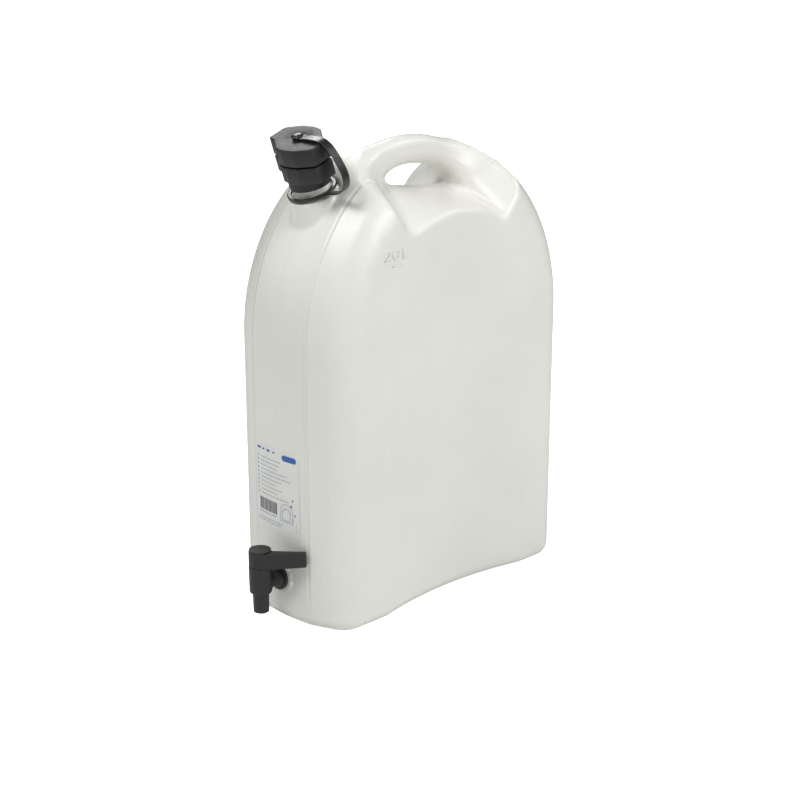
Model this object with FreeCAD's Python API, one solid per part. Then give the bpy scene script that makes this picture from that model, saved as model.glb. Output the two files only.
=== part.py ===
import FreeCAD, Part
import math
import os

# Twenty-litre water canister with a screw closure and a drain tap.
# Millimetres. +Z is up, the ground is Z = 0 and the origin is the middle of the base.
# The narrow front face (tap, label and neck) looks towards -Y and the wide sides look towards +X and -X.

# ---- driving dimensions: the blow-moulded can ----
LENGTH = 355.6            # front to back at the middle of the width
WIDTH = 167.7             # side to side
HEIGHT = 495.0            # ground to the top of the handle
SIDE_HEIGHT = 296.3       # height where the straight ends turn into the arch
WALL = 2.5                # blow-moulded wall
CREASE_X = 41.3           # half width of the front and back panels
FACET_INSET = 17.3        # how far the sloping facets draw in between the crease and the side
PANEL_BOW = 4.0           # outward bow of the front and back panels
EDGE_R = 16.0             # rounding of the wide sides' edges and of the bottom edge
BELOW = 20.0              # the outline is drawn this far below the base, then trimmed flat
DISH_DEPTH = 13.0         # hollow in each wide side
DISH_Y = 5.0              # middle of the hollow, front to back
DISH_HALF = 105.5         # half length of the hollow
DISH_TOP_RISE = 140.0     # rise of the hollow's arched top above SIDE_HEIGHT
SPACE_TOP = 525.0         # the hand space is cut away up to here, clear above the handle
SPACE_SIDE_X = 88.0       # and out to here, clear of the wide sides
HANDLE_R = 15.0           # radius of the hollow handle tube
HANDLE_FRONT_Y = -100.0   # the tube is buried in the front shoulder here
HANDLE_REAR_Y = 110.0     # and in the rear shoulder here

# ---- driving dimensions: the neck and its closure, along the neck axis ----
NECK_BASE = (0.0, -130.3, 459.8)   # point on the neck axis level with the foot of the closure
NECK_TILT = 18.0          # degrees the neck leans towards the front
NECK_R = 19.0             # outside of the neck under the closure
NECK_BORE_R = 16.0
NECK_RIM = 20.5           # height of the neck rim
BOSS_TOP = -11.0          # the tether ring hangs just above the boss
SEAT_R = 28.0             # round seat cut into the shoulder, clear of the tether ring
SEAT_TOP = 60.0           # the seat is cut away up to here
BOSS_TOP_R = 25.5
BOSS_FOOT = -52.0
BOSS_FOOT_R = 32.0
GRIP_TIP = (36.0, 7.0)    # two-lobed grip of the nut and the cap: sharp end of a lobe
GRIP_NOTCH = (25.0, 11.0) # shallow notch just behind the tip
GRIP_ROOT = (7.0, 25.0)   # where the flat behind the notch meets the next lobe
GRIP_BULGE = (-14.0, 27.2)
GRIP_SHOULDER = (-39.0, 17.0)      # rounded corner of that lobe
GRIP_SHOULDER_R = 8.0
GRIP_TIP_R = 1.2
GRIP_RIM_R = 0.7
SKIRT_R = 21.6            # round foot of the union nut
NUT_LOW = 12.9            # underside of the nut's grip lobes
NUT_TOP = 29.8
CAP_LOW = 31.6            # underside of the cap
CAP_TOP = 49.5
SPIGOT_R = 14.5           # threaded spigot of the pouring insert
SPIGOT_BORE_R = 11.5
SPIGOT_TOP = 45.0
INSERT_FLANGE = (22.0, 25.0)
GASKET_T = 1.5
SLIP = 0.1                # clearance between faces that turn on each other
THREAD_GAP = 0.35         # clearance round the thread ridges

# ---- driving dimensions: the tether ----
RING_IN_R = 21.5
RING_OUT_R = 25.8
RING_T = 3.0
RING_HEIGHT = -6.3        # middle of the loose ring along the neck axis
RING_LEAN = 3.5           # degrees; the loose ring sits lower at the front
STRAP_HEIGHT = 51.0       # middle of the strap's eye above the cap
STRAP_WIDTH = 9.0
STRAP_T = 1.4
RIVET_HEAD_R = 6.2
RIVET_STEM_R = 2.6
STRAP_EYE_R = 6.0

# ---- driving dimensions: the drain tap ----
TAP_Y = -208.0            # vertical axis of the tap
INLET_Z = 49.0            # height of the inlet bore
HOUSING_R = 12.2
HOUSING_LOW = 38.0
HOUSING_TOP = 68.6
PLUG_R = 8.55
HOUSING_BORE_R = 8.6
PLUG_LOW = 40.5
PORT_R = 4.6
PLUG_HOLLOW_R = 5.6
PLUG_HOLLOW_TOP = 55.5
O_RING_HEIGHTS = (42.6, 62.0)
O_RING_CORD_R = 0.8
O_RING_GROOVE = 1.7       # depth of the grooves the rings lie in
DRIVE_HALF = 4.5          # half width of the square that the lever sits on
DRIVE_TOP = 76.5
NOZZLE_R = 8.3            # a hose pushes over it
NOZZLE_BORE_R = 6.0
NOZZLE_LOW = 16.5
FLANGE_R = 14.5
SHANK_R = 9.0
SHANK_END_Y = -162.0
PAD_R = 19.0              # flat pad the tap is clamped to
PAD_FRONT_Y = -182.4
PAD_BACK_Y = -177.5
TAP_GASKET_T = 1.3
LOCK_NUT_AF = 27.0
LOCK_NUT_T = 7.0
LEVER_ANGLE = 33.0        # degrees from +X towards +Y with the tap shut
LEVER_HUB_R = 12.0
LEVER_TIP_NEAR = (50.0, -3.2)      # the blade's front side runs from here to touch the hub
LEVER_TIP_FAR = (50.5, 0.8)
LEVER_ROOT = (11.0, 2.6)  # the blade's back side meets the hub here
LEVER_TOP = 85.2
LEVER_TIP_RISE = 3.4      # the blade climbs towards its tip, top and underside
LEVER_TIP_LIFT = 3.0
LEVER_LEVEL_X = 14.0      # the climb starts here
LEVER_CUP_R = 10.6        # round cup in the hub that the cover presses into
LEVER_CUP_DEPTH = 3.0
COVER_R = 11.7
COVER_TOP = 86.8
COVER_RECESS_R = 6.4
COVER_RECESS_DEPTH = 0.6
OPEN_TURN = 122.0         # degrees the lever swings to open the tap

# ---- driving dimensions: the label ----
LABEL_X = (-37.5, 31.5)
LABEL_Z = (98.0, 190.0)
LABEL_T = 0.2


def vec(x, y, z):
    return FreeCAD.Vector(x, y, z)


UP = vec(0, 0, 1)
ORIGIN = vec(0, 0, 0)


def cylinder(radius, low, high):
    """Upright cylinder on the Z axis between two heights."""
    return Part.makeCylinder(radius, high - low, vec(0, 0, low), UP)


def cone(low_r, high_r, low, high):
    """Upright cone on the Z axis between two heights."""
    return Part.makeCone(low_r, high_r, high - low, vec(0, 0, low), UP)


def tube(outer_r, inner_r, low, high):
    return cylinder(outer_r, low, high).cut(cylinder(inner_r, low - 1, high + 1))


def torus(ring_r, cord_r, height):
    """Ring of round section lying level at a height."""
    return Part.makeTorus(ring_r, cord_r, vec(0, 0, height), UP)


def fuse_all(shapes):
    whole = shapes[0]
    for shape in shapes[1:]:
        whole = whole.fuse(shape)
    return whole.removeSplitter()


def on_neck(shape):
    """Carry a shape built along +Z on to the leaning neck axis."""
    placed = shape.copy()
    placed.rotate(ORIGIN, vec(1, 0, 0), NECK_TILT)
    placed.translate(vec(*NECK_BASE))
    return placed


def on_tap(shape):
    """Carry a shape built round the Z axis on to the tap's vertical axis."""
    placed = shape.copy()
    placed.translate(vec(0, TAP_Y, 0))
    return placed


def save(shape, node):
    """Write one sub-part."""
    if len(shape.Solids) == 1:
        shape = shape.Solids[0]
    if not shape.isValid():
        print("invalid", node)
    shape.exportStep("parts/" + node + ".step")
    box = shape.BoundBox
    print(node, len(shape.Solids), round(shape.Volume), round(box.ZMin, 1), round(box.ZMax, 1))


# ---- the can ----

def arch_outline(x, half_length, rise, low, middle_y=0.0):
    """Closed outline in the plane X = x: flat foot, straight ends and a half-ellipse top."""
    centre = vec(x, middle_y, SIDE_HEIGHT)
    front_foot = vec(x, middle_y - half_length, low)
    rear_foot = vec(x, middle_y + half_length, low)
    front_spring = vec(x, middle_y - half_length, SIDE_HEIGHT)
    rear_spring = vec(x, middle_y + half_length, SIDE_HEIGHT)
    crown = vec(x, middle_y, SIDE_HEIGHT + rise)
    ellipse = Part.Ellipse(crown, rear_spring, centre)
    arch = Part.Arc(ellipse, -math.pi / 2, math.pi / 2).toShape()
    if arch.valueAt(arch.FirstParameter).y > middle_y:
        ends = (rear_spring, front_spring)
    else:
        ends = (front_spring, rear_spring)
    feet = {front_spring.y: front_foot, rear_spring.y: rear_foot}
    first_foot = feet[ends[0].y]
    last_foot = feet[ends[1].y]
    edges = [arch,
             Part.makeLine(ends[1], last_foot),
             Part.makeLine(last_foot, first_foot),
             Part.makeLine(first_foot, ends[0])]
    return Part.Wire(edges)


def section(x, draw_in, inset):
    """Can outline at one place across the width, moved inwards by the wall inset and run on below the base."""
    half_length = LENGTH / 2 - draw_in - inset
    rise = HEIGHT - SIDE_HEIGHT - draw_in - inset
    return arch_outline(x, half_length, rise, -BELOW)


def slab(inset):
    """Full tombstone body: bowed middle panels, a sloping facet on each side and a flat base."""
    half_width = WIDTH / 2 - inset
    middle = Part.makeLoft([section(-CREASE_X, 0, inset), section(0, -PANEL_BOW, inset),
                            section(CREASE_X, 0, inset)], True, False)
    slope = FACET_INSET / (WIDTH / 2 - CREASE_X)
    draw_in = slope * (half_width - CREASE_X)
    pieces = [middle]
    for side in (-1, 1):
        inner = section(side * CREASE_X, 0, inset)
        outer = section(side * half_width, draw_in, inset)
        pieces.append(Part.makeLoft([inner, outer], True, True))
    below = Part.makeBox(WIDTH + 20, LENGTH + 40, 2 * BELOW,
                         vec(-WIDTH / 2 - 10, -LENGTH / 2 - 20, inset - 2 * BELOW))
    return fuse_all(pieces).cut(below).removeSplitter()


def round_edges(body, inset):
    """Round the outline of both wide sides and the bottom edge."""
    half_width = WIDTH / 2 - inset
    edges = []
    for edge in body.Edges:
        box = edge.BoundBox
        on_side = abs(abs(box.XMin) - half_width) < 0.01 and box.XLength < 0.01
        if on_side or box.ZMax < inset + 0.01:
            edges.append(edge)
    return body.makeFillet(EDGE_R - inset, edges)


def side_hollow(inset):
    """Shallow arched hollow of one wide side, as the solid to take away."""
    half = DISH_HALF + inset
    radius = (half ** 2 + DISH_DEPTH ** 2) / (2 * DISH_DEPTH)
    floor_x = WIDTH / 2 - DISH_DEPTH - inset
    drum = Part.makeCylinder(radius, HEIGHT + 40, vec(floor_x + radius, DISH_Y, -20), UP)
    outline = arch_outline(floor_x - 5, half, DISH_TOP_RISE + inset, -10, DISH_Y)
    prism = Part.Face(outline).extrude(vec(DISH_DEPTH + 30, 0, 0))
    return drum.common(prism)


def hand_space(inset):
    """Saddle-shaped space under the handle, open to both wide sides and to the top."""
    def profile(x, front, middle, rear, front_top, rear_top):
        """Arched floor, an upright end wall at each end, then a slope up and out."""
        floor_start = vec(x, front[0] - inset, front[1])
        floor_end = vec(x, rear[0] + inset, rear[1])
        floor = Part.Arc(floor_start, vec(x, middle[0], middle[1] - inset), floor_end).toShape()
        corners = [floor_end, vec(x, rear[0] + inset, rear[2]), vec(x, rear_top + inset, SPACE_TOP),
                   vec(x, front_top - inset, SPACE_TOP), vec(x, front[0] - inset, front[2]), floor_start]
        sides = [Part.makeLine(start, end) for start, end in zip(corners, corners[1:])]
        return Part.Wire([floor] + sides)
    halves = []
    for side in (-1, 1):
        at_middle = profile(0, (-50, 450, 472.7), (0, 439), (67, 432, 462.8), -83, 126)
        at_side = profile(side * SPACE_SIDE_X, (-70, 403, 405), (0, 426), (67, 404, 406), -147, 179)
        halves.append(Part.makeLoft([at_middle, at_side], True, True))
    return fuse_all(halves)


def handle_tube(radius):
    """Round tube following the arch just inside its outline."""
    half_length = LENGTH / 2 - HANDLE_R
    rise = HEIGHT - SIDE_HEIGHT - HANDLE_R
    crown = vec(0, 0, SIDE_HEIGHT + rise)
    side = vec(0, half_length, SIDE_HEIGHT)
    ellipse = Part.Ellipse(crown, side, vec(0, 0, SIDE_HEIGHT))

    def parameter(y):
        z = SIDE_HEIGHT + rise * math.sqrt(1 - (y / half_length) ** 2)
        return ellipse.parameter(vec(0, y, z))

    low, high = sorted((wrap(parameter(HANDLE_FRONT_Y)), wrap(parameter(HANDLE_REAR_Y))))
    path = Part.Arc(ellipse, low, high).toShape()
    start = path.valueAt(path.FirstParameter)
    heading = path.tangentAt(path.FirstParameter)
    ring = Part.Wire([Part.makeCircle(radius, start, heading)])
    return Part.Wire([path]).makePipeShell([ring], True, False)


def wrap(angle):
    """Bring an angle into the half-open turn centred on zero."""
    while angle > math.pi:
        angle -= 2 * math.pi
    return angle


def can_solid(inset):
    """Can filled solid, with every outside face moved inwards by the inset."""
    body = round_edges(slab(inset), inset)
    hollow = side_hollow(inset)
    body = body.cut(hollow)
    body = body.cut(hollow.mirror(ORIGIN, vec(1, 0, 0)))
    body = body.cut(hand_space(inset))
    body = body.fuse(handle_tube(HANDLE_R - inset))
    return body.cut(on_neck(cylinder(SEAT_R + inset, BOSS_TOP - inset, SEAT_TOP)))


def neck_outside():
    boss = cone(BOSS_FOOT_R, BOSS_TOP_R, BOSS_FOOT, BOSS_TOP)
    return on_neck(fuse_all([boss, cylinder(NECK_R, BOSS_TOP, NECK_RIM)]))


def neck_inside():
    hollow = cone(BOSS_FOOT_R - WALL, BOSS_TOP_R - WALL, BOSS_FOOT - 8, BOSS_TOP - WALL)
    return on_neck(fuse_all([hollow, cylinder(NECK_BORE_R, BOSS_TOP - 10, NECK_RIM + 5)]))


def along_front(shape):
    """Turn a shape built along +Z so that it runs along -Y at the tap inlet height."""
    placed = shape.copy()
    placed.rotate(ORIGIN, vec(1, 0, 0), 90)
    placed.translate(vec(0, 0, INLET_Z))
    return placed


def make_can_shell():
    outside = can_solid(0).fuse(neck_outside())
    inside = can_solid(WALL).fuse(neck_inside())
    shell = outside.cut(inside)
    pad = along_front(cylinder(PAD_R, -PAD_BACK_Y, -PAD_FRONT_Y))
    hole = along_front(cylinder(SHANK_R + SLIP, -PAD_BACK_Y - 5, -PAD_FRONT_Y + 5))
    return shell.fuse(pad).cut(hole)


def make_label():
    """Thin printed film bonded to the bowed front panel."""
    skin = slab(-LABEL_T).cut(slab(0))
    window = Part.makeBox(LABEL_X[1] - LABEL_X[0], 40, LABEL_Z[1] - LABEL_Z[0],
                          vec(LABEL_X[0], -LENGTH / 2 - 20, LABEL_Z[0]))
    return skin.common(window)


# ---- the closure ----

def grip_prism(low, high):
    """Two-lobed grip: each lobe is an arc, a rounded shoulder, a side and a sharp tip with a notch behind it."""
    def half(sign):
        """Corner points of one half of the outline; the other half is the same turned half round."""
        corners = (GRIP_TIP, GRIP_NOTCH, GRIP_ROOT, GRIP_BULGE, GRIP_SHOULDER)
        return [vec(sign * x, sign * y, low) for x, y in corners]
    edges = []
    for sign in (1, -1):
        tip, notch, root, bulge, shoulder = half(sign)
        far_tip = half(-sign)[0]
        edges += [Part.makeLine(tip, notch), Part.makeLine(notch, root),
                  Part.Arc(root, bulge, shoulder).toShape(), Part.makeLine(shoulder, far_tip)]
    prism = Part.Face(Part.Wire(edges)).extrude(vec(0, 0, high - low))
    upright = [edge for edge in prism.Edges if edge.BoundBox.ZLength > 1]
    shoulders = [edge for edge in upright if abs(edge.BoundBox.YMin) > GRIP_SHOULDER[1] - 1
                 and abs(edge.BoundBox.XMin) > GRIP_SHOULDER_R + abs(GRIP_ROOT[0])]
    prism = prism.makeFillet(GRIP_SHOULDER_R, shoulders)
    tips = [edge for edge in prism.Edges if edge.BoundBox.ZLength > 1
            and abs(abs(edge.BoundBox.XMin) - GRIP_TIP[0]) < 0.1]
    prism = prism.makeFillet(GRIP_TIP_R, tips)
    rims = [edge for edge in prism.Edges if edge.BoundBox.ZLength < 0.01]
    return prism.makeFillet(GRIP_RIM_R, rims)


def make_neck_gasket():
    return on_neck(tube(NECK_R - 0.5, NECK_BORE_R, NECK_RIM, NECK_RIM + GASKET_T))


def make_pour_insert():
    flange = cylinder(NECK_R - 0.4, *INSERT_FLANGE)
    spigot = cylinder(SPIGOT_R, INSERT_FLANGE[0], SPIGOT_TOP)
    sleeve = cylinder(NECK_BORE_R - 0.3, NECK_RIM - 9, INSERT_FLANGE[0])
    bore = cylinder(SPIGOT_BORE_R, 0, SPIGOT_TOP + 5)
    return on_neck(fuse_all([flange, spigot, sleeve]).cut(bore))


def make_union_nut():
    body = fuse_all([grip_prism(NUT_LOW, NUT_TOP), cylinder(SKIRT_R, 0, NUT_LOW + 1)])
    neck_hole = cylinder(NECK_R + THREAD_GAP, -1, INSERT_FLANGE[1] + SLIP)
    spigot_hole = cylinder(SPIGOT_R + THREAD_GAP, 0, NUT_TOP + 5)
    return on_neck(body.cut(neck_hole).cut(spigot_hole))


def make_screw_cap():
    body = grip_prism(CAP_LOW, CAP_TOP)
    cavity = cylinder(SPIGOT_R + THREAD_GAP, CAP_LOW - 1, SPIGOT_TOP + GASKET_T)
    rivet_hole = cylinder(RIVET_STEM_R + SLIP, SPIGOT_TOP, CAP_TOP + 5)
    return on_neck(body.cut(cavity).cut(rivet_hole))


def make_cap_gasket():
    return on_neck(tube(SPIGOT_R, 5.5, SPIGOT_TOP, SPIGOT_TOP + GASKET_T))


# ---- the tether ----

def strap_centre_line():
    """Smooth loop from the button on the cap, out past the grips and down to the ring."""
    points = [(0, STRAP_HEIGHT), (7, 51.0), (15, 51.8), (24, 52.3), (33, 52.0), (39, 50.4), (45, 46), (50, 39),
              (54, 31), (57, 23), (58.2, 15), (56.6, 8.2), (52.4, 2), (45, -2.6), (35, -5.5), (24, RING_HEIGHT)]
    curve = Part.BSplineCurve()
    curve.interpolate([vec(x, 0, s) for x, s in points])
    return curve


def strap_band():
    curve = strap_centre_line()
    start = curve.value(curve.FirstParameter)
    half = STRAP_WIDTH / 2
    rise = STRAP_T / 2
    corners = [vec(start.x, -half, start.z - rise), vec(start.x, half, start.z - rise),
               vec(start.x, half, start.z + rise), vec(start.x, -half, start.z + rise)]
    outline = Part.makePolygon(corners + corners[:1])
    return Part.Wire([curve.toShape()]).makePipeShell([outline], True, False)


def make_tether_strap():
    ring = tube(RING_OUT_R, RING_IN_R, -RING_T / 2, RING_T / 2)
    ring.rotate(ORIGIN, vec(1, 0, 0), RING_LEAN)
    ring.translate(vec(0, 0, RING_HEIGHT))
    eye_low = STRAP_HEIGHT - STRAP_T / 2
    eye = cylinder(STRAP_EYE_R, eye_low, eye_low + STRAP_T)
    band = strap_band().cut(cylinder(RING_IN_R + 1, RING_HEIGHT - 5, RING_HEIGHT + 5))
    strap = fuse_all([ring, band, eye])
    return on_neck(strap.cut(cylinder(RIVET_STEM_R + SLIP, 45, 60)))


def make_tether_rivet():
    """Mushroom button that pins the strap's eye to the middle of the cap."""
    eye_top = STRAP_HEIGHT + STRAP_T / 2 + SLIP
    head = Part.makeSphere(RIVET_HEAD_R * 1.35, vec(0, 0, eye_top + 2.2 - RIVET_HEAD_R * 1.35), UP)
    head = head.common(cylinder(RIVET_HEAD_R, eye_top, eye_top + 5))
    stem = cylinder(RIVET_STEM_R, SPIGOT_TOP + 0.3, eye_top + 0.5)
    foot = cylinder(RIVET_STEM_R + 1.6, SPIGOT_TOP + 0.3, SPIGOT_TOP + GASKET_T - SLIP)
    return on_neck(fuse_all([stem, head, foot]))


# ---- the drain tap ----

def make_tap_housing():
    barrel = cylinder(HOUSING_R, HOUSING_LOW, HOUSING_TOP)
    shoulder = cone(NOZZLE_R + 1.4, HOUSING_R, HOUSING_LOW - 2.5, HOUSING_LOW)
    collar = cylinder(NOZZLE_R + 0.8, HOUSING_LOW - 5, HOUSING_LOW)
    nozzle = cylinder(NOZZLE_R, NOZZLE_LOW, HOUSING_LOW)
    upright = on_tap(fuse_all([barrel, shoulder, collar, nozzle]))
    flange_front = -PAD_FRONT_Y + TAP_GASKET_T
    flange = along_front(cylinder(FLANGE_R, flange_front, flange_front + 2.6))
    dish = along_front(cone(FLANGE_R - 2, SHANK_R, flange_front + 1.2, flange_front + 7))
    inlet = along_front(cylinder(SHANK_R, -SHANK_END_Y, -TAP_Y))
    body = fuse_all([upright, flange, dish, inlet])
    body = body.cut(on_tap(cylinder(HOUSING_BORE_R, PLUG_LOW - SLIP, HOUSING_TOP + 5)))
    body = body.cut(on_tap(cylinder(NOZZLE_BORE_R, NOZZLE_LOW - 5, HOUSING_LOW + 10)))
    return body.cut(along_front(cylinder(NOZZLE_BORE_R, -SHANK_END_Y - 5, -TAP_Y)))


def square_bar(half, low, high):
    """Upright square bar on the Z axis."""
    return Part.makeBox(2 * half, 2 * half, high - low, vec(-half, -half, low))


def turned_port():
    """Side port of the plug, turned away from the inlet while the tap is shut."""
    port = Part.makeCylinder(PORT_R, 20, vec(0, 0, INLET_Z), vec(0, 1, 0))
    port.rotate(ORIGIN, UP, OPEN_TURN)
    return port


def make_tap_plug():
    """Hollow plug: liquid enters by the side port and leaves at the open foot."""
    body = cylinder(PLUG_R, PLUG_LOW, HOUSING_TOP - SLIP)
    drive = square_bar(DRIVE_HALF, HOUSING_TOP - 1, DRIVE_TOP)
    drive.rotate(ORIGIN, UP, LEVER_ANGLE)
    body = fuse_all([body, drive]).cut(cylinder(PLUG_HOLLOW_R, PLUG_LOW - 5, PLUG_HOLLOW_TOP))
    body = body.cut(turned_port())
    for height in O_RING_HEIGHTS:
        body = body.cut(tube(PLUG_R + 1, PLUG_R - O_RING_GROOVE, height - 1, height + 1))
    return on_tap(body)


def make_plug_o_rings():
    rings = [on_tap(torus(PLUG_R - O_RING_CORD_R, O_RING_CORD_R, height)) for height in O_RING_HEIGHTS]
    return Part.makeCompound(rings)


def lever_plan(low, high):
    """Blade seen from above, pointing along +X: its front side leaves the hub along a tangent."""
    reach = math.hypot(*LEVER_TIP_NEAR)
    touch_angle = math.atan2(LEVER_TIP_NEAR[1], LEVER_TIP_NEAR[0]) - math.acos(LEVER_HUB_R / reach)
    touch = (LEVER_HUB_R * math.cos(touch_angle), LEVER_HUB_R * math.sin(touch_angle))
    corners = [(0, 0), touch, LEVER_TIP_NEAR, LEVER_TIP_FAR, LEVER_ROOT, (0, 0)]
    outline = Part.makePolygon([vec(x, y, low) for x, y in corners])
    return Part.Face(outline).extrude(vec(0, 0, high - low))


def lever_side(low):
    """Side view of the blade: level beside the hub, then climbing towards the tip."""
    tip_x = LEVER_TIP_FAR[0]
    corners = [(-1, low), (LEVER_LEVEL_X, low), (tip_x, low + LEVER_TIP_LIFT),
               (tip_x, LEVER_TOP + LEVER_TIP_RISE), (LEVER_LEVEL_X, LEVER_TOP), (-1, LEVER_TOP), (-1, low)]
    outline = Part.makePolygon([vec(x, -30, z) for x, z in corners])
    return Part.Face(outline).extrude(vec(0, 60, 0))


def make_tap_lever():
    low = HOUSING_TOP + SLIP
    blade = lever_plan(low, LEVER_TOP + LEVER_TIP_RISE).common(lever_side(low))
    tip_edges = [edge for edge in blade.Edges if edge.BoundBox.XMin > 40 and edge.BoundBox.ZLength > 10]
    blade = blade.makeFillet(1.0, tip_edges)
    body = fuse_all([cylinder(LEVER_HUB_R, low, LEVER_TOP), blade])
    socket = square_bar(DRIVE_HALF + SLIP / 2, low - 1, DRIVE_TOP + SLIP)
    cup = cylinder(LEVER_CUP_R, LEVER_TOP - LEVER_CUP_DEPTH, LEVER_TOP + 5)
    body = body.cut(socket).cut(cup)
    body.rotate(ORIGIN, UP, LEVER_ANGLE)
    return on_tap(body)


def make_lever_cap():
    """Round cover pressed into the top of the lever hub, with a plain shallow recess."""
    stub = cylinder(LEVER_CUP_R - 0.05, LEVER_TOP - LEVER_CUP_DEPTH + SLIP, LEVER_TOP + 1)
    disc = cylinder(COVER_R, LEVER_TOP + 0.05, COVER_TOP)
    disc = disc.makeFillet(0.5, [edge for edge in disc.Edges if edge.BoundBox.ZMin > COVER_TOP - 0.1])
    recess = cylinder(COVER_RECESS_R, COVER_TOP - COVER_RECESS_DEPTH, COVER_TOP + 3)
    return on_tap(fuse_all([stub, disc]).cut(recess))


def make_tap_gasket():
    return along_front(tube(FLANGE_R - 0.6, SHANK_R + SLIP, -PAD_FRONT_Y, -PAD_FRONT_Y + TAP_GASKET_T))


def make_tap_lock_nut():
    corner_r = LOCK_NUT_AF / math.sqrt(3)
    corners = [vec(corner_r * math.cos(math.radians(60 * k)), corner_r * math.sin(math.radians(60 * k)),
                   -PAD_BACK_Y - LOCK_NUT_T) for k in range(7)]
    hexagon = Part.Face(Part.makePolygon(corners)).extrude(vec(0, 0, LOCK_NUT_T))
    return along_front(hexagon.cut(cylinder(SHANK_R + 0.05, -PAD_BACK_Y - 20, -PAD_BACK_Y + 5)))


def main():
    os.makedirs("parts", exist_ok=True)
    save(make_can_shell(), "can_shell")
    save(make_label(), "front_label")
    save(make_neck_gasket(), "neck_gasket")
    save(make_pour_insert(), "pour_insert")
    save(make_union_nut(), "union_nut")
    save(make_screw_cap(), "screw_cap")
    save(make_cap_gasket(), "cap_gasket")
    save(make_tether_strap(), "tether_strap")
    save(make_tether_rivet(), "tether_rivet")
    save(make_tap_housing(), "tap_housing")
    save(make_tap_plug(), "tap_plug")
    save(make_plug_o_rings(), "plug_o_rings")
    save(make_tap_lever(), "tap_lever")
    save(make_lever_cap(), "lever_cap")
    save(make_tap_gasket(), "tap_gasket")
    save(make_tap_lock_nut(), "tap_lock_nut")


main()
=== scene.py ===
import math

import bpy
import numpy as np
from mathutils import Matrix, Vector


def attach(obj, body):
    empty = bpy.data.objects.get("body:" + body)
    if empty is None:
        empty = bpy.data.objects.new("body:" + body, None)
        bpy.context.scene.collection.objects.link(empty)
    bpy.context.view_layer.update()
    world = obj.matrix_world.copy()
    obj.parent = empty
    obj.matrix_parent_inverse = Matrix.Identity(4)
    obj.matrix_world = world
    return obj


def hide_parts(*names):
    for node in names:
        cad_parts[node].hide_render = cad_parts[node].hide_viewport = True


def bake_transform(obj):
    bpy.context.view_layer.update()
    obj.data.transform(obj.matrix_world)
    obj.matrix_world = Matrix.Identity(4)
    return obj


# Looks of a 20 litre water canister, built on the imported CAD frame.
# Shapes are worked out in millimetres and scaled to metres when each mesh is made.

MM = 0.001
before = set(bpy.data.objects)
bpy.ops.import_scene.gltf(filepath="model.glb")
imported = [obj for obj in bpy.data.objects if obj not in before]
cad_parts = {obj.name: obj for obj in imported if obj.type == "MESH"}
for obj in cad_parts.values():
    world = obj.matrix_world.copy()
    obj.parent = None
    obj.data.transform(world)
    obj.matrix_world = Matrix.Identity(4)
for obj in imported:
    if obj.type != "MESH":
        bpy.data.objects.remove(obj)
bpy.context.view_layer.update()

# ---- the can's main sizes, as in the CAD ----
HALF_LENGTH = 177.8       # middle of the width, front to back
RISE = 198.7              # arch above the straight ends
SPRING_Z = 296.3          # straight ends turn into the arch here
HALF_WIDTH = 83.8
CREASE_X = 41.3           # half width of the front and back panels
FACET_ANGLE = math.radians(22.2)
PANEL_BOW = 4.0
SIDE_ROUND = 20.0
FOOT_ROUND = 13.0
HANDLE_R = 15.0
HANDLE_HALF_LENGTH = 120.0
HANDLE_JOIN = 34.0        # width of the soft join between handle and body
RIM_ROUND = 5.5           # edge between the body and the hand space
ROOT_ROUND = 16.0         # added to the rim at the handle's front root
FRONT_VALLEY_ROUND = 12.0
REAR_VALLEY_ROUND = 8.0
MESH_STEP = 2.6           # grid spacing of the can's mesh

# ---- neck and tap places ----
NECK_BASE = Vector((0.0, -130.3, 459.8))
NECK_TILT = math.radians(18.0)
NECK_SEAT_R = 28.0
NECK_SEAT_DEPTH = 10.8
NECK_BOSS_R = 25.5
NECK_BORE_R = 17.5
TAP_Y = -208.0
INLET_Z = 49.0
PAD_R = 19.0              # flat pad on the can behind the tap
PAD_FRONT_Y = -182.4
LEVER_ANGLE = math.radians(33.0)
THREAD_PITCH = 5.0


# ---- small shape helpers ----

def make_object(name, points, faces):
    """Smooth-shaded mesh object from points in millimetres."""
    mesh = bpy.data.meshes.new(name)
    mesh.from_pydata([tuple(MM * c for c in p) for p in points], [], faces)
    mesh.update()
    mesh.shade_smooth()
    thing = bpy.data.objects.new(name, mesh)
    bpy.context.scene.collection.objects.link(thing)
    return thing


def neck_matrix():
    return Matrix.Translation(NECK_BASE) @ Matrix.Rotation(NECK_TILT, 4, "X")


def tap_matrix():
    return Matrix.Translation((0, TAP_Y, 0))


def place(points, matrix):
    return [tuple(matrix @ Vector(p)) for p in points]


def bridge_rings(ring_count, size, closed_loop):
    """Quads between consecutive rings of equal size."""
    faces = []
    last = ring_count if closed_loop else ring_count - 1
    for ring in range(last):
        here, there = ring * size, (ring + 1) % ring_count * size
        for k in range(size):
            n = (k + 1) % size
            faces.append((here + k, here + n, there + n, there + k))
    return faces


def lathe(name, profile, matrix, segments=96, closed_loop=False, smooth_angle=35):
    """Turned piece from (radius, height) points; a radius of zero closes an end."""
    points, faces = [], []
    angles = [2 * math.pi * k / segments for k in range(segments)]
    for radius, height in profile:
        r = max(radius, 0.01)
        points += [(r * math.cos(a), r * math.sin(a), height) for a in angles]
    faces = bridge_rings(len(profile), segments, closed_loop)
    thing = make_object(name, place(points, matrix), faces)
    return soften(thing, smooth_angle)


def soften(thing, angle=35):
    """Smooth shading that keeps edges sharper than an angle."""
    thing.data.set_sharp_from_angle(angle=math.radians(angle))
    return thing


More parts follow.
